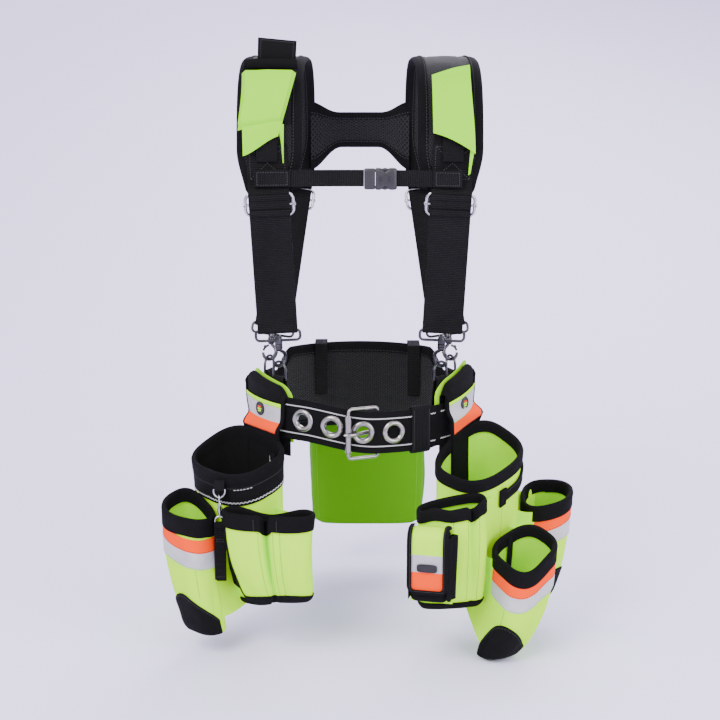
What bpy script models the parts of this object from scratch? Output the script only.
"""High-visibility carpenter's tool belt with suspenders, as worn: a belt ring with two pouch clusters and a
rear pouch, held up by a padded shoulder yoke on four webbing legs. Metres, +Z up, -Y is the wearer's front.
The origin is the centre of the belt ring at the middle of the webbing's height."""

from math import asin, atan2, cos, pi, radians, sin

import bmesh
import bpy
from mathutils import Matrix, Vector

# Belt ring: radii are measured from the origin, angles from the front, positive to the wearer's left (+X).
PAD_INNER_R = 0.121
PAD_OUTER_R = 0.131
UNDER_R = 0.1369
OVER_R = 0.1394
WEB_HALF_THICK = 0.0011
WEB_HALF_HIGH = 0.025
GAP = 0.0003
FRONT_RISE = 0.011
BAR_ANGLE = 9.0
BAR_R = 0.1342
KEEPER_ANGLES = (25.5, 35.5)
TIP_ANGLE = 40.0
EYELET_ANGLES = (-28.6, -13.6, 1.4, 16.4)
EYELET_HOLE_R = 0.0075
EYELET_FLANGE_R = 0.0138

# Lumbar pad.
PAD_END_ANGLE = 44.0
PAD_LOW_HALF = 0.028
PAD_HIGH_HALF = 0.054
PAD_RISE_ANGLES = (122.0, 135.0)

# Pouch clusters: the angles that each belt loop takes on the ring, and its heights.
LEFT_LOOP = (-38.0, -72.0)
RIGHT_LOOP = (45.0, 73.0)
LEFT_LOOP_TOPS = (0.046, 0.058)
RIGHT_LOOP_TOPS = (0.048, 0.066)
LOOP_BOTTOM = -0.0365
WALL = 0.0025

# Each pouch: the middle of its rim's back (x, y), the angle it faces, its rim's and its base's width and
# depth, its rim's height at back left, back right, front left and front right as seen from in front of it,
# the height of its foot, and how far the foot wanders (x, y).
POUCHES = {
    "left_main_pouch": (
        (-0.1124, -0.0943), -50.0, (0.116, 0.084), (0.104, 0.056),
        (-0.006, -0.020, -0.042, -0.045), -0.206, (0.0, 0.0)
    ),
    "left_front_pocket": (
        (-0.1035, -0.1790), -4.0, (0.104, 0.029), (0.074, 0.022),
        (-0.077, -0.080, -0.081, -0.084), -0.186, (0.011, 0.0)
    ),
    "left_nail_pouch": (
        (-0.1812, -0.1455), -45.0, (0.058, 0.051), (0.050, 0.038),
        (-0.066, -0.096, -0.078, -0.090), -0.232, (0.014, -0.004)
    ),
    "right_main_pouch": (
        (0.1107, -0.0962), 49.0, (0.108, 0.080), (0.100, 0.056),
        (-0.039, 0.004, -0.054, -0.029), -0.200, (0.0, 0.0)
    ),
    "right_front_pocket": (
        (0.1020, -0.1770), 10.0, (0.078, 0.034), (0.074, 0.028),
        (-0.074, -0.062, -0.080, -0.068), -0.192, (0.0, 0.0)
    ),
    "right_nail_pouch_front": (
        (0.1720, -0.1600), 38.0, (0.070, 0.060), (0.050, 0.036),
        (-0.127, -0.106, -0.145, -0.122), -0.254, (-0.022, -0.010)
    ),
    "right_nail_pouch_rear": (
        (0.1960, -0.0800), 84.0, (0.064, 0.060), (0.056, 0.034),
        (-0.104, -0.084, -0.090, -0.082), -0.218, (0.0, 0.0)
    ),
    "mobile_pouch": (
        (0.0815, -0.2195), -14.0, (0.042, 0.022), (0.042, 0.020),
        (-0.092, -0.092, -0.095, -0.095), -0.172, (0.0, 0.0)
    ),
    "rear_pouch": (
        (0.0095, 0.1360), 180.0, (0.154, 0.040), (0.146, 0.032),
        (-0.034, -0.034, -0.044, -0.044), -0.197, (0.0, 0.0)
    ),
}

# Shoulder yoke.
SHOULDER_X = 0.104
SHOULDER_LEAN_IN = 0.010
ARCH_HALF_DEPTH = 0.104
ARCH_BASE_Z = 0.290
ARCH_RISE = 0.134
ARCH_POWER = 2.6
SHOULDER_THICK = 0.008
SHOULDER_HALF_WIDE = 0.036
FRONT_END_Z = 0.272
BACK_END_Z = 0.258
CHEST_STRAP_Y = -0.1197
CHEST_STRAP_Z = 0.294

# Suspender legs.
STRAP_HALF_WIDE = 0.0235
LAYER = 0.002
LAYER_SHIFT = 0.0032
RING_WIRE_R = 0.0016
RING_HALF_WIDE = 0.0262
RING_DROP = 0.013
SLIDER_HALF = (0.0275, 0.013)
SLIDER_WIRE_R = 0.0017
KNOB_REACH = 0.0022
HOOK_LOOP_R = 0.0090
HOOK_LOOP_DROP = 0.036
HOOK_WIRE_R = 0.0020
D_WIRE_R = 0.0016
D_HALF_WIDE = 0.012
D_HIGH = 0.021
D_RING_R = 0.1265
FRONT_D = (48.9, 0.0731)
BACK_D = (114.3, 0.0525)
SLIDER_Z = (0.264, 0.246)
SLIDER_Y = (-0.1150, 0.1150)
SLIDER_X = (0.104, 0.087)
D_DROP = 0.0400

COLOURS = {
    "black_webbing": ((0.018, 0.018, 0.019), 0.80, 0.0),
    "black_pad": ((0.014, 0.014, 0.015), 0.90, 0.0),
    "lime_fabric": ((0.42, 0.90, 0.08), 0.70, 0.0),
    "steel": ((0.62, 0.60, 0.58), 0.25, 1.0),
    "black_steel": ((0.10, 0.10, 0.10), 0.35, 1.0),
    "black_plastic": ((0.05, 0.05, 0.055), 0.45, 0.0),
}


def clear_scene():
    for obj in list(bpy.data.objects):
        bpy.data.objects.remove(obj, do_unlink=True)


def collection(name):
    made = bpy.data.collections.new(name)
    bpy.context.scene.collection.children.link(made)
    return made


def material(name):
    found = bpy.data.materials.get(name)
    if found:
        return found
    colour, roughness, metallic = COLOURS[name]
    made = bpy.data.materials.new(name)
    made.use_nodes = True
    shader = made.node_tree.nodes["Principled BSDF"]
    shader.inputs["Base Color"].default_value = (*colour, 1.0)
    shader.inputs["Roughness"].default_value = roughness
    shader.inputs["Metallic"].default_value = metallic
    return made


def add(name, data, material_name, parent=None):
    """Links an object made from this mesh or curve, in the frame of its parent empty."""
    obj = bpy.data.objects.new(name, data)
    PARTS.objects.link(obj)
    data.materials.append(material(material_name))
    obj.parent = parent
    return obj


def frame(name, origin, up=(0, 0, 1), across=(1, 0, 0)):
    """An empty with its Z along up and its X as near across as it can be."""
    z = Vector(up).normalized()
    x = Vector(across)
    x = (x - x.dot(z) * z).normalized()
    y = z.cross(x)
    empty = bpy.data.objects.new(name, None)
    PARTS.objects.link(empty)
    rotation = Matrix((x, y, z)).transposed().to_4x4()
    empty.matrix_world = Matrix.Translation(Vector(origin)) @ rotation
    bpy.context.view_layer.update()
    return empty


def on_ring(angle, radius, z=0.0):
    a = radians(angle)
    return Vector((radius * sin(a), -radius * cos(a), z))


def lerp(a, b, t):
    return a + (b - a) * t


def smooth(t):
    t = min(max(t, 0.0), 1.0)
    return t * t * (3 - 2 * t)


def spread(start, end, count):
    return [lerp(start, end, i / (count - 1)) for i in range(count)]


def loft(name, sections, material_name, parent=None, closed=False):
    """Skins equal rings of points into one solid, capped at both ends unless it closes on itself."""
    bm = bmesh.new()
    rings = [[bm.verts.new(p) for p in ring] for ring in sections]
    count = len(rings[0])
    pairs = list(zip(rings, rings[1:]))
    if closed:
        pairs.append((rings[-1], rings[0]))
    for low, high in pairs:
        for i in range(count):
            j = (i + 1) % count
            bm.faces.new((low[i], low[j], high[j], high[i]))
    if not closed:
        bm.faces.new(rings[0])
        bm.faces.new(rings[-1])
    bmesh.ops.recalc_face_normals(bm, faces=bm.faces)
    mesh = bpy.data.meshes.new(name)
    bm.to_mesh(mesh)
    bm.free()
    return add(name, mesh, material_name, parent)


def plate(name, outlines, half_thick, material_name, parent=None):
    """A flat outline in the XY plane of its frame, with any holes, given a thickness along Z."""
    curve = bpy.data.curves.new(name, "CURVE")
    curve.dimensions = "2D"
    curve.fill_mode = "BOTH"
    curve.extrude = half_thick
    for outline in outlines:
        spline = curve.splines.new("POLY")
        spline.points.add(len(outline) - 1)
        spline.use_cyclic_u = True
        for point, (x, y) in zip(spline.points, outline):
            point.co = (x, y, 0.0, 1.0)
    return add(name, curve, material_name, parent)


def wire(name, points, radius, material_name, parent=None, cyclic=False, sides=1):
    """A round wire along a path. sides is Blender's bevel resolution: 1 gives six sides, 2 gives eight."""
    curve = bpy.data.curves.new(name, "CURVE")
    curve.dimensions = "3D"
    curve.bevel_depth = radius
    curve.bevel_resolution = sides
    curve.use_fill_caps = not cyclic
    spline = curve.splines.new("POLY")
    spline.points.add(len(points) - 1)
    spline.use_cyclic_u = cyclic
    for point, place in zip(spline.points, points):
        point.co = (*place, 1.0)
    return add(name, curve, material_name, parent)


def as_mesh(obj):
    """Turns a curve object into a mesh object with its caps welded, ready for a Boolean."""
    bpy.context.view_layer.update()
    graph = bpy.context.evaluated_depsgraph_get()
    mesh = bpy.data.meshes.new_from_object(obj.evaluated_get(graph))
    bm = bmesh.new()
    bm.from_mesh(mesh)
    bmesh.ops.remove_doubles(bm, verts=bm.verts, dist=0.00001)
    bmesh.ops.recalc_face_normals(bm, faces=bm.faces)
    bm.to_mesh(mesh)
    bm.free()
    made = bpy.data.objects.new(obj.name, mesh)
    name, parent, world = obj.name, obj.parent, obj.matrix_world.copy()
    obj.users_collection[0].objects.link(made)
    bpy.data.objects.remove(obj, do_unlink=True)
    made.name = name
    made.parent = parent
    made.matrix_world = world
    return made


def cylinder(name, radius, low, high, parent=None, sides=12, material_name="steel"):
    """A solid round bar along Z of its frame."""
    bm = bmesh.new()
    bmesh.ops.create_cone(
        bm, cap_ends=True, segments=sides, radius1=radius, radius2=radius, depth=high - low
    )
    bmesh.ops.translate(bm, verts=bm.verts, vec=(0, 0, (high + low) / 2))
    mesh = bpy.data.meshes.new(name)
    bm.to_mesh(mesh)
    bm.free()
    return add(name, mesh, material_name, parent)


def combine(obj, other, operation):
    """Joins another solid to this one, or cuts it away, and keeps the other as a hidden helper."""
    for users in list(other.users_collection):
        users.objects.unlink(other)
    HELPERS.objects.link(other)
    other.hide_render = True
    other.display_type = "WIRE"
    modifier = obj.modifiers.new(operation.lower(), "BOOLEAN")
    modifier.operation = operation
    modifier.object = other
    modifier.solver = "EXACT"
    return obj


def ribbon(points, thickness):
    """The outline of a strip of this thickness that follows a path in a plane."""
    path = [Vector(p) for p in points]
    left, right = [], []
    for i, point in enumerate(path):
        ahead = path[min(i + 1, len(path) - 1)]
        behind = path[max(i - 1, 0)]
        along = (ahead - behind).normalized()
        side = Vector((-along.y, along.x)) * thickness / 2
        if 0 < i < len(path) - 1:
            into = (point - behind).normalized()
            side /= max(into.dot(along), 0.5)
        left.append(tuple(point + side))
        right.append(tuple(point - side))
    return left + right[::-1]


def rounded_box(half_x, half_y, corner, steps=3):
    """A rectangle with round corners, as points anticlockwise from the right-hand side."""
    points = []
    for quarter in range(4):
        turn = quarter * pi / 2
        sx = 1 if quarter in (0, 3) else -1
        sy = 1 if quarter in (0, 1) else -1
        for a in spread(turn, turn + pi / 2, steps):
            x = sx * (half_x - corner) + corner * cos(a)
            y = sy * (half_y - corner) + corner * sin(a)
            points.append((x, y))
    return points


def belt_rise(angle):
    """The left strap climbs a little towards the left pouches, and comes level again behind them."""
    return FRONT_RISE * smooth((8 - angle) / 38) * smooth((angle + 120) / 45)


# Belt


def pad_half_height(angle):
    low, high = PAD_RISE_ANGLES
    return lerp(PAD_LOW_HALF, PAD_HIGH_HALF, smooth((abs(angle) - low) / (high - low)))


def make_lumbar_pad(tabs):
    sections = []
    for angle in spread(PAD_END_ANGLE, 360 - PAD_END_ANGLE, 33):
        turned = angle if angle <= 180 else angle - 360
        half = pad_half_height(turned)
        ends = min(angle - PAD_END_ANGLE, 360 - PAD_END_ANGLE - angle) / 6.0
        half *= lerp(0.7, 1.0, smooth(ends))
        corners = ((PAD_INNER_R, -half), (PAD_OUTER_R, -half), (PAD_OUTER_R, half), (PAD_INNER_R, half))
        sections.append([on_ring(angle, radius, z) for radius, z in corners])
    pad = loft("lumbar_pad", sections, "black_pad")
    for tab in tabs:
        combine(pad, tab, "UNION")


def make_belt_webbing():
    sections = []
    for angle in spread(-178, TIP_ANGLE, 44):
        radius = lerp(UNDER_R, OVER_R, smooth((angle + 62) / 14))
        corners = ((-1, -1), (1, -1), (1, 1), (-1, 1))
        z = belt_rise(angle)
        sections.append(
            [on_ring(angle, radius + r * WEB_HALF_THICK, z + h * WEB_HALF_HIGH) for r, h in corners]
        )
    left = loft("belt_webbing_left", sections, "black_webbing")
    for number, angle in enumerate(EYELET_ANGLES, 1):
        at = on_ring(angle, OVER_R, belt_rise(angle))
        place = frame(f"eyelet_frame_{number}", at, on_ring(angle, 1), (0, 0, 1))
        hole = cylinder(f"eyelet_hole_{number}", EYELET_HOLE_R + 0.0009, -0.02, 0.02, place, 16)
        combine(left, hole, "DIFFERENCE")
        make_eyelet(f"eyelet_{number}", place)
    bar = on_ring(BAR_ANGLE, BAR_R).xy
    outer_r, inner_r = 0.0037, 0.0024
    under = [on_ring(a, UNDER_R).xy for a in spread(178, BAR_ANGLE + 4.5, 28)]
    facing = atan2(bar.y, bar.x)
    round_bar = [facing + t for t in spread(0.25, -2 * pi + 1.15, 13)]
    loop = [bar + outer_r * Vector((cos(t), sin(t))) for t in round_bar]
    outer = [p + p.normalized() * WEB_HALF_THICK for p in under]
    inner = [p - p.normalized() * WEB_HALF_THICK for p in under]
    outline = [tuple(p) for p in outer + loop + inner[::-1]]
    hole = [tuple(bar + inner_r * Vector((cos(t), sin(t)))) for t in spread(0, 2 * pi * 11 / 12, 12)]
    right = plate("belt_webbing_right", [outline, hole], WEB_HALF_HIGH, "black_webbing")
    right = as_mesh(right)
    place = frame("prong_slot_frame", (*bar, 0))
    slot = cylinder("prong_slot", 0.0064, -0.0036, 0.0036, place, 12)
    combine(right, slot, "DIFFERENCE")


def make_eyelet(name, place):
    """A rolled steel eyelet: a barrel through the webbing and a wide domed flange in front of it."""
    front = WEB_HALF_THICK + GAP
    barrel = EYELET_HOLE_R + 0.0006
    profile = (
        (EYELET_HOLE_R, -WEB_HALF_THICK),
        (EYELET_HOLE_R, front + 0.0009),
        (lerp(EYELET_HOLE_R, EYELET_FLANGE_R, 0.55), front + 0.0024),
        (EYELET_FLANGE_R - 0.0008, front + 0.0018),
        (EYELET_FLANGE_R, front),
        (barrel, front),
        (barrel, -WEB_HALF_THICK),
    )
    steps = 20
    sections = []
    for i in range(steps):
        a = 2 * pi * i / steps
        sections.append([(r * cos(a), r * sin(a), z) for r, z in profile])
    loft(name, sections, "steel", place, closed=True)


def make_buckle():
    bar = on_ring(BAR_ANGLE, BAR_R)
    roller = Vector((-0.0135, -0.1465, 0))
    across = roller - bar
    half = across.length / 2
    place = frame("buckle_frame_place", (bar + roller) / 2, (0, 0, 1), across)
    path = [(x, 0, z) for x, z in rounded_box(half, 0.0296, 0.004)]
    wire("buckle_frame", path, 0.0018, "steel", place, cyclic=True, sides=2)
    roller_place = frame("buckle_roller_place", roller)
    sections = []
    for a in spread(0, 2 * pi * 11 / 12, 12):
        ring = ((0.0021, -0.0225), (0.0036, -0.0225), (0.0036, 0.0225), (0.0021, 0.0225))
        sections.append([(r * cos(a), r * sin(a), z) for r, z in ring])
    loft("buckle_roller", sections, "steel", roller_place, closed=True)
    spine = [(0.0175, -0.1344), (0.0120, -0.1344), (0.0060, -0.1374), (-0.0050, -0.1490), (-0.0130, -0.1523),
             (-0.0180, -0.1518)]
    strip = ribbon(spine, 0.0030)
    head = [bar.xy + 0.0040 * Vector((cos(t), sin(t))) for t in spread(2.55, -2.45, 9)]
    outline = strip[1:6] + strip[6:11] + [tuple(p) for p in head]
    hole = [tuple(bar.xy + 0.0022 * Vector((cos(t), sin(t)))) for t in spread(0, 2 * pi * 9 / 10, 10)]
    plate("buckle_prong", [outline, hole], 0.0022, "steel")


def make_keeper():
    outer_r, inner_r = OVER_R + WEB_HALF_THICK, UNDER_R - WEB_HALF_THICK
    sections = []
    gap, thick = 0.0010, 0.0016
    for angle in spread(*KEEPER_ANGLES, 3):
        hollow = ((inner_r - gap, 1), (outer_r + gap, 1), (outer_r + gap, -1), (inner_r - gap, -1))
        walls = [(r + (thick if r > outer_r else -thick), s) for r, s in hollow]
        inside = [on_ring(angle, r, s * (WEB_HALF_HIGH + 0.0008)) for r, s in hollow]
        shell = [on_ring(angle, r, s * (WEB_HALF_HIGH + 0.0028)) for r, s in walls]
        sections.append((shell, inside))
    make_tube("belt_keeper", sections, "black_webbing")


def make_tube(name, sections, material_name, parent=None):
    """A hollow tube from pairs of outer and inner rings, open at both ends."""
    rings = [outer for outer, _ in sections] + [inner for _, inner in reversed(sections)]
    loft(name, rings, material_name, parent, closed=True)


# Suspender legs


def strap_profile(upper, inner_end):
    """The doubled webbing in its own plane (y, z): up behind, round the ring bar, and up in front."""
    turn = [(LAYER_SHIFT * cos(t), LAYER_SHIFT * sin(t)) for t in spread(0, -pi, 9)]
    back = [(LAYER_SHIFT, inner_end), (LAYER_SHIFT, 0.020)]
    return back + turn + [(-LAYER_SHIFT, 0.020)] + upper


def leg_plane(name, leg, outward):
    """A plane whose X is out from the body's far side and whose Y runs up the leg."""
    plane = bpy.data.objects.new(f"{name}_plane", None)
    PARTS.objects.link(plane)
    plane.parent = leg
    turn = Matrix(((0, 0, 1, 0), (1, 0, 0, 0), (0, 1, 0, 0), (0, 0, 0, 1)))
    if outward > 0:
        turn = Matrix.Rotation(pi, 4, "Z") @ turn
    plane.matrix_local = turn
    bpy.context.view_layer.update()
    return plane


def make_leg(name, slider, d_angle, d_height, pad_face):
    """One suspender leg, from its sewn end on the shoulder pad to the D-ring on the lumbar pad."""
    arch_top = on_ring(d_angle, D_RING_R, d_height)
    up = (slider - arch_top).normalized()
    origin = arch_top + up * D_DROP
    leg = frame(f"{name}_leg", origin, up, (up.z, 0, -up.x))
    inverse = leg.matrix_world.inverted()
    outward = -1 if slider.y < 0 else 1
    local = [inverse @ p for p in pad_face]
    upper = [(-outward * p.y, p.z) for p in local]
    height = (slider - origin).length
    profile = strap_profile([(-LAYER_SHIFT, height + SLIDER_HALF[1] + 0.001)] + upper, height + 0.010)
    plane = leg_plane(name, leg, outward)
    plate(f"{name}_strap", [ribbon(profile, LAYER)], STRAP_HALF_WIDE, "black_webbing", plane)
    make_slider(f"{name}_slider", leg, height)
    make_ring(f"{name}_ring", leg)
    make_hook(name, leg, d_angle)
    return make_d_ring(name, arch_top, d_angle)


def make_slider(name, leg, height):
    """A wire slider between the webbing's two layers, with the ends of its bar riveted over outside."""
    half_x, half_z = SLIDER_HALF
    place = bpy.data.objects.new(f"{name}_place", None)
    PARTS.objects.link(place)
    place.parent = leg
    place.location.z = height
    bpy.context.view_layer.update()
    loop = [(x, 0, z) for x, z in rounded_box(half_x, half_z, 0.006)]
    end = half_x + KNOB_REACH
    frame_wire = as_mesh(wire(name, loop, SLIDER_WIRE_R, "steel", place, cyclic=True))
    bar_wire = as_mesh(wire(f"{name}_bar", [(-end, 0, 0), (end, 0, 0)], SLIDER_WIRE_R * 0.9, "steel", place))
    combine(frame_wire, bar_wire, "UNION")


def make_ring(name, leg):
    path = [(x, 0, z - RING_DROP / 2) for x, z in rounded_box(RING_HALF_WIDE, RING_DROP / 2, 0.004)]
    ring = as_mesh(wire(name, path, RING_WIRE_R, "steel", leg, cyclic=True))
    collar = cylinder(f"{name}_collar", 0.0046, -RING_DROP - 0.004, -RING_DROP + 0.004, leg, 10)
    combine(ring, collar, "UNION")
    bore = cylinder(f"{name}_bore", 0.0025, -RING_DROP - 0.02, -RING_DROP + 0.0063, leg, 10)
    combine(ring, bore, "DIFFERENCE")


def hook_point(t):
    """A point on the hook's loop, in the plane square to the D-ring; t is in degrees from outward."""
    a = radians(t)
    return (0, HOOK_LOOP_R * cos(a), HOOK_LOOP_R * sin(a) - HOOK_LOOP_DROP)


def make_hook(name, leg, turn):
    """The swivel hook below the ring: its loop lies in the plane square to the D-ring."""
    place = bpy.data.objects.new(f"{name}_hook_place", None)
    PARTS.objects.link(place)
    place.parent = leg
    place.rotation_euler.z = radians(turn)
    bpy.context.view_layer.update()
    low, high = -RING_DROP - 0.004, -RING_DROP + 0.004
    profile = (
        (0.0001, high + 0.0030),
        (0.0030, high + 0.0024),
        (0.0034, high + GAP),
        (0.0021, high + GAP),
        (0.0021, low - GAP),
        (0.0046, low - GAP),
        (0.0046, low - 0.0060),
        (0.0034, low - 0.0085),
        (0.0001, low - 0.0085),
    )
    body = turned(f"{name}_snap_hook", profile, 10, "black_steel", place)
    arc = [(0, 0.0005, low - 0.006)] + [hook_point(t) for t in spread(68, -172, 12)]
    loop = as_mesh(wire(f"{name}_hook_loop", arc, HOOK_WIRE_R, "black_steel", place))
    combine(body, loop, "UNION")
    gate = [hook_point(t) for t in spread(108, 170, 4)]
    wire(f"{name}_hook_gate", gate, 0.0013, "black_steel", place)


def turned(name, profile, steps, material_name, parent):
    """A closed turned solid: the profile runs from its top centre to its bottom centre."""
    bm = bmesh.new()
    turns = [(cos(2 * pi * i / steps), sin(2 * pi * i / steps)) for i in range(steps)]
    rings = [[bm.verts.new((r * c, r * s, z)) for c, s in turns] for r, z in profile[1:-1]]
    top = bm.verts.new((0, 0, profile[0][1]))
    bottom = bm.verts.new((0, 0, profile[-1][1]))
    for i in range(steps):
        j = (i + 1) % steps
        bm.faces.new((top, rings[0][i], rings[0][j]))
        bm.faces.new((bottom, rings[-1][j], rings[-1][i]))
        for upper, lower in zip(rings, rings[1:]):
            bm.faces.new((upper[i], lower[i], lower[j], upper[j]))
    bmesh.ops.recalc_face_normals(bm, faces=bm.faces)
    mesh = bpy.data.meshes.new(name)
    bm.to_mesh(mesh)
    bm.free()
    return add(name, mesh, material_name, parent)


def make_d_ring(name, arch_top, angle):
    """The D-ring below a hook, and the sewn tab that holds it. Returns the tab, for the lumbar pad."""
    base = arch_top - Vector((0, 0, D_HIGH))
    place = frame(f"{name}_d_place", base, (0, 0, 1), on_ring(angle + 90, 1))
    straight = D_HIGH - D_HALF_WIDE
    arch = [(D_HALF_WIDE * cos(t), 0, straight + D_HALF_WIDE * sin(t)) for t in spread(0, pi, 9)]
    path = [(D_HALF_WIDE, 0, 0)] + arch + [(-D_HALF_WIDE, 0, 0)]
    wire(f"{name}_d_ring", path, D_WIRE_R, "steel", place, cyclic=True)
    low = pad_half_height(angle) - 0.006 - base.z
    hollow = D_WIRE_R + 0.0005
    outer = hollow + 0.0017
    outline = [(outer * cos(t), outer * sin(t)) for t in spread(-0.4, pi + 0.4, 8)]
    outline += [(-0.002, low), (0.002, low)]
    hole = [(hollow * cos(t), hollow * sin(t)) for t in spread(0, 2 * pi * 7 / 8, 8)]
    plane = bpy.data.objects.new(f"{name}_tab_plane", None)
    PARTS.objects.link(plane)
    plane.parent = place
    plane.matrix_local = Matrix(((0, 0, 1, 0), (1, 0, 0, 0), (0, 1, 0, 0), (0, 0, 0, 1)))
    bpy.context.view_layer.update()
    return as_mesh(plate(f"{name}_ring_tab", [outline, hole], 0.0098, "black_webbing", plane))


# Shoulder yoke


def arch_point(t, lift=0.0):
    """The shoulder pad's middle line in its own plane (y, z), t from 0 in front to 1 behind."""
    theta = pi * t
    power = 2 / ARCH_POWER
    c, s = cos(theta), sin(theta)
    y = -(ARCH_HALF_DEPTH + lift) * (1 if c >= 0 else -1) * abs(c) ** power
    z = ARCH_BASE_Z + (ARCH_RISE + lift) * abs(s) ** power
    return Vector((y, z))


def arch_path(lift, front_z, back_z, steps):
    """The middle line moved outward by lift, with straight ends that run down to the given heights."""
    points = [arch_point(even_out(i / (steps - 1)), lift) for i in range(steps)]
    front = [Vector((points[0].x, z)) for z in spread(front_z, ARCH_BASE_Z, 3)[:-1]]
    back = [Vector((points[-1].x, z)) for z in spread(ARCH_BASE_Z, back_z, 3)[1:]]
    return front + points + back


def even_out(t):
    """Spaces the arch's points evenly enough for its flattened sides."""
    return lerp(t, smooth(t), -0.35)


def pad_x(side, y):
    """The pad's middle leans in behind the shoulder."""
    return side * (SHOULDER_X - SHOULDER_LEAN_IN * smooth((y + ARCH_HALF_DEPTH) / (2 * ARCH_HALF_DEPTH)))


def normals(path):
    """The outward unit normal at each point of a path in the arch's plane."""
    last = len(path) - 1
    steps = [(path[min(i + 1, last)] - path[max(i - 1, 0)]).normalized() for i in range(last + 1)]
    return [Vector((-along.y, along.x)) for along in steps]


def strip_on_arch(name, path, centres, halves, thick, material_name):
    """A strip of varying width that follows a path in the arch's plane."""
    sections = []
    for point, out, x, half in zip(path, normals(path), centres, halves):
        inner, outer = point - out * thick / 2, point + out * thick / 2
        sections.append([(x - half, *inner), (x + half, *inner), (x + half, *outer), (x - half, *outer)])
    return loft(name, sections, material_name)


def make_shoulder_pad(name, side):
    path = arch_path(0, FRONT_END_Z, BACK_END_Z, 19)
    centres = [pad_x(side, p.x) for p in path]
    halves = [lerp(0.025, SHOULDER_HALF_WIDE, smooth((p.y - 0.266) / 0.060)) for p in path]
    strip_on_arch(name, path, centres, halves, SHOULDER_THICK, "black_pad")


def make_crosspiece():
    """The back band between the pads, flared and lower where it meets them."""
    reach = SHOULDER_X - SHOULDER_LEAN_IN - SHOULDER_HALF_WIDE - 0.0006
    sections = []
    for x in spread(-reach, reach, 13):
        edge = smooth((abs(x) - 0.028) / (reach - 0.028))
        half = lerp(0.0205, 0.038, edge)
        z = lerp(0.333, 0.326, edge)
        y = ARCH_HALF_DEPTH - 0.006 * edge
        t = 0.003
        corners = ((-t, -half), (t, -half), (t, half), (-t, half))
        sections.append([(x, y + out, z + up) for out, up in corners])
    loft("yoke_crosspiece", sections, "black_pad")


def make_pad_patch(name, side, x_shift, half_wide, lift, thick, low, high):
    """A lime panel lying on the front of a shoulder pad between two heights."""
    path = [p for p in arch_path(lift, 0.280, 0.280, 33) if p.x < -0.02 and low <= p.y <= high]
    centres = [pad_x(side, p.x) + x_shift for p in path]
    strip_on_arch(name, path, centres, [half_wide] * len(path), thick, "lime_fabric")


def make_pocket_tab():
    """The closing tab of the phone pocket, standing up from the top of the left shoulder pad."""
    path = [Vector(p) for p in ((-0.0590, 0.4210), (-0.0632, 0.4270), (-0.0650, 0.4390), (-0.0655, 0.4515))]
    centres = [-x for x in spread(0.0975, 0.0955, len(path))]
    strip_on_arch("phone_pocket_tab", path, centres, [0.0225] * len(path), 0.0018, "black_webbing")


def make_chest_strap():
    for name, x0, x1 in (("chest_strap_left", -0.121, 0.0045), ("chest_strap_right", 0.0425, 0.117)):
        place = frame(f"{name}_place", ((x0 + x1) / 2, CHEST_STRAP_Y, CHEST_STRAP_Z))
        half = (x1 - x0) / 2
        outline = [(-half, -0.001), (half, -0.001), (half, 0.001), (-half, 0.001)]
        plate(name, [outline], 0.0095, "black_webbing", place)


def box(name, low, high, material_name, parent=None):
    bm = bmesh.new()
    bmesh.ops.create_cube(bm, size=1)
    size = Vector(high) - Vector(low)
    bmesh.ops.scale(bm, verts=bm.verts, vec=size)
    bmesh.ops.translate(bm, verts=bm.verts, vec=(Vector(high) + Vector(low)) / 2)
    mesh = bpy.data.meshes.new(name)
    bm.to_mesh(mesh)
    bm.free()
    return add(name, mesh, material_name, parent)


def make_chest_buckle():
    """A side-release buckle: the plug's two arms lie in the socket's open sides."""
    plastic = "black_plastic"
    place = frame("chest_socket_place", (0.030, CHEST_STRAP_Y, CHEST_STRAP_Z))
    socket = box("chest_buckle_socket", (-0.012, -0.0045, -0.0125), (0.012, 0.0045, 0.0125), plastic, place)
    throat = box("chest_throat", (-0.020, -0.0027, -0.0105), (0.0085, 0.0027, 0.0105), plastic, place)
    combine(socket, throat, "DIFFERENCE")
    for sign in (-1, 1):
        window = cylinder(f"chest_window_{sign}", 0.0060, -0.02, 0.02, place, 12)
        window.rotation_euler.x = pi / 2
        window.location = (-0.0005, 0, sign * 0.0155)
        combine(socket, window, "DIFFERENCE")
    plane = frame("chest_plug_plane", (0.0115, CHEST_STRAP_Y, CHEST_STRAP_Z), (0, -1, 0), (1, 0, 0))
    half = [(-0.0065, 0.0120), (0.0060, 0.0120), (0.0060, 0.0085), (0.0180, 0.0085), (0.0210, 0.0065),
            (0.0210, 0.0045), (0.0160, 0.0045), (0.0070, 0.0030), (0.0070, 0.0018), (0.0200, 0.0018)]
    outline = half + [(x, -z) for x, z in reversed(half)]
    slot = [(x - 0.0025, z) for x, z in rounded_box(0.0022, 0.0098, 0.0010, 2)]
    plate("chest_buckle_plug", [outline, slot], 0.0021, plastic, plane)


# Pouches


def pouch_outline(wide, deep, inset, power=2.8, count=16):
    """A pouch's plan outline: a rectangle with very round corners, its back at 0 and its front at deep."""
    half, reach = wide / 2 - inset, deep / 2 - inset
    points = []
    for i in range(count):
        c, s = cos(2 * pi * i / count), sin(2 * pi * i / count)
        across = half * (1 if c >= 0 else -1) * abs(c) ** (2 / power)
        out = reach * (1 if s >= 0 else -1) * abs(s) ** (2 / power)
        points.append((across, deep / 2 + out))
    return points


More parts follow.
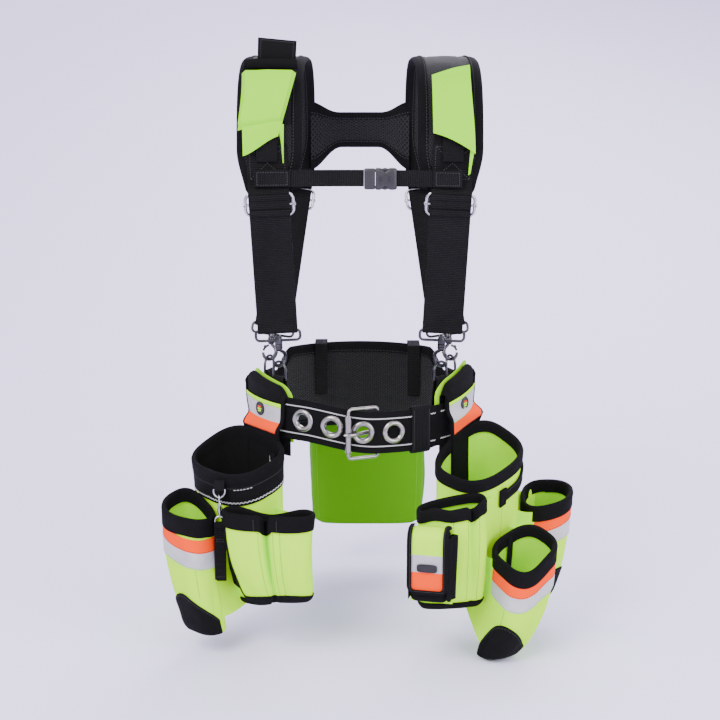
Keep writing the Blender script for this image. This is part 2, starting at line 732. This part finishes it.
def make_pouch(name):
    """An open-topped pouch with its sizes from the table at the top."""
    back, facing, rim, base, tops, bottom, drift = POUCHES[name]
    turn = Matrix.Rotation(radians(facing), 2)

    def ring(f, inset, floor):
        grow = f**0.7
        shrink = 0.93 if f == 0 else 1.0
        wide, deep = (lerp(base[i], rim[i], grow) * shrink for i in (0, 1))
        points = []
        for s, d in pouch_outline(wide, deep, inset):
            right = min(max(s / rim[0] + 0.5, 0.0), 1.0)
            front = min(max(d / rim[1], 0.0), 1.0)
            top = lerp(lerp(tops[0], tops[1], right), lerp(tops[2], tops[3], right), front)
            z = lerp(bottom + floor, top, f)
            local = turn @ Vector((s, -d))
            x = back[0] + local.x + drift[0] * (1 - f) ** 2
            y = back[1] + local.y + drift[1] * (1 - f) ** 2
            points.append(Vector((x, y, z)))
        return points

    levels = (0.0, 0.12, 0.5, 1.0)
    outer = [ring(f, 0.0, 0.0) for f in levels]
    inner = [ring(f, WALL, WALL) for f in reversed(levels)]
    return loft(name, outer + inner, "lime_fabric")


def make_belt_loop(name, angles, tops):
    """The sleeve that carries a pouch cluster: it wraps the belt webbing."""
    in_r, out_r, thick = 0.1333, 0.1454, 0.0022
    sections = []
    for t in spread(0, 1, 7):
        angle, top = lerp(*angles, t), lerp(*tops, t)
        low = LOOP_BOTTOM
        shell = [(in_r, low), (out_r, low), (out_r, top - 0.006), (out_r - 0.003, top), (in_r, top)]
        hollow = [(in_r + thick, low + thick), (out_r - thick, low + thick), (out_r - thick, top - 0.008),
                  (out_r - 0.0045, top - thick), (in_r + thick, top - thick)]
        sections.append(([on_ring(angle, *p) for p in shell], [on_ring(angle, *p) for p in hollow]))
    make_tube(name, sections, "black_webbing")


def make_left_cluster():
    make_belt_loop("left_belt_loop", LEFT_LOOP, LEFT_LOOP_TOPS)
    for name in ("left_main_pouch", "left_front_pocket", "left_nail_pouch"):
        make_pouch(name)


def make_key_set():
    """A snap hook on a small D-ring, with a webbing lanyard hanging from it."""
    at = Vector((-0.1620, -0.1762, -0.058))
    place = frame("key_d_place", at)
    half = 0.0065
    arch = [(half * cos(t), 0, -half * 0.4 - half * sin(t)) for t in spread(0, pi, 7)]
    wire("key_d_ring", [(half, 0, 0)] + arch + [(-half, 0, 0)], 0.0011, "steel", place, cyclic=True)
    eye_r = 0.0042
    eye_z = -0.0101
    hook = [(0, eye_r * cos(t), eye_z + eye_r * sin(t)) for t in spread(radians(200), radians(-75), 9)]
    hook += [(0, 0.0004, eye_z - 0.0085), (0, 0, eye_z - 0.022)]
    body = as_mesh(wire("key_snap_hook", hook, 0.0010, "steel", place))
    ring_z = eye_z - 0.0272
    ring_r = 0.0056
    ring = [(ring_r * cos(t), 0, ring_z + ring_r * sin(t)) for t in spread(0, 2 * pi * 9 / 10, 10)]
    combine(body, as_mesh(wire("key_eye", ring, 0.0011, "steel", place, cyclic=True)), "UNION")
    plane = frame("key_strap_plane", at + Vector((0, 0, ring_z - ring_r + 0.0006)), (1, 0, 0), (0, 0, 1))
    r = 0.0034
    turn = [(r * cos(t), r * sin(t)) for t in spread(2.55, -2.55, 9)]
    spine = [(-0.066, 0.0013), (-0.012, 0.0013)] + turn + [(-0.012, -0.0013), (-0.068, -0.0013)]
    plate("key_strap", [ribbon(spine, 0.0018)], 0.0035, "black_webbing", plane)


def make_right_cluster():
    make_belt_loop("right_belt_loop", RIGHT_LOOP, RIGHT_LOOP_TOPS)
    for name in ("main_pouch", "front_pocket", "nail_pouch_front", "nail_pouch_rear"):
        make_pouch(f"right_{name}")


def make_mobile_pouch():
    """The small lidded pouch on the right cluster, with its flap hinged along the top of its back."""
    make_pouch("mobile_pouch")
    back, facing = POUCHES["mobile_pouch"][:2]
    turn = Matrix.Rotation(radians(facing), 2)
    top, deep, low = -0.0885, 0.0245, -0.160
    spine = [(0.002, top), (deep - 0.007, top + 0.001), (deep - 0.001, top - 0.004), (deep, top - 0.012)]
    spine.append((deep, low))
    sections = []
    for s in (-0.0235, 0.0235):
        ring = []
        for d, z in ribbon([Vector(p) for p in spine], 0.002):
            local = turn @ Vector((s, -d))
            ring.append((back[0] + local.x, back[1] + local.y, z))
        sections.append(ring)
    loft("mobile_flap", sections, "lime_fabric")


def make_rear_pouch():
    """The flat pouch behind the wearer, hung over the lumbar pad on two webbing loops."""
    pouch = make_pouch("rear_pouch")
    middle = POUCHES["rear_pouch"][0][0]
    half_wide, clear, top = 0.008, 0.0016, PAD_HIGH_HALF + 0.002
    for number, x in enumerate((middle - 0.060, middle + 0.060), 1):
        out_y = (UNDER_R + WEB_HALF_THICK) * cos(asin((abs(x) - half_wide) / UNDER_R)) + clear
        in_y = PAD_INNER_R * cos(asin((abs(x) + half_wide) / PAD_INNER_R)) - clear
        outside = [(0.1425, -0.0430), (out_y, -0.0290), (out_y, top - 0.002), (out_y - 0.002, top)]
        inside = [(in_y + 0.002, top), (in_y, top - 0.002), (in_y, -0.010)]
        plane = frame(f"rear_loop_plane_{number}", (x, 0, 0), (1, 0, 0), (0, 1, 0))
        outline = ribbon(outside + inside, 0.0018)
        strip = plate(f"rear_loop_{number}", [outline], half_wide, "black_webbing", plane)
        loop = as_mesh(strip)
        combine(pouch, loop, "UNION")


def main():
    tabs = []
    lift = SHOULDER_THICK / 2 + GAP + LAYER / 2 + 0.0002
    face = arch_path(lift, FRONT_END_Z, BACK_END_Z, 19)
    for side, side_name in ((-1, "left"), (1, "right")):
        for end, end_name in enumerate(("front", "back")):
            way = face[::-1] if end else face
            on_pad = [p for p in way if (p.x > 0) == bool(end) and 0.286 - 0.010 * end < p.y < 0.335]
            x = side * SLIDER_X[end]
            slider = Vector((x, SLIDER_Y[end], SLIDER_Z[end]))
            angle, height = BACK_D if end else FRONT_D
            at = [Vector((x, p.x, p.y)) for p in on_pad]
            tabs.append(make_leg(f"{end_name}_{side_name}", slider, side * angle, height, at))
        make_shoulder_pad(f"{side_name}_shoulder_pad", side)
    make_lumbar_pad(tabs)
    make_belt_webbing()
    make_buckle()
    make_keeper()
    make_crosspiece()
    make_pad_patch("phone_pocket", -1, -0.003, 0.028, 0.0145, 0.010, 0.325, 0.417)
    make_pad_patch("pad_sleeve", 1, 0.004, 0.024, 0.0095, 0.002, 0.335, 0.412)
    make_pocket_tab()
    make_chest_strap()
    make_chest_buckle()
    make_left_cluster()
    make_key_set()
    make_right_cluster()
    make_mobile_pouch()
    make_rear_pouch()


clear_scene()
PARTS = collection("tool_belt")
HELPERS = collection("cutters")
HELPERS.hide_render = True
main()
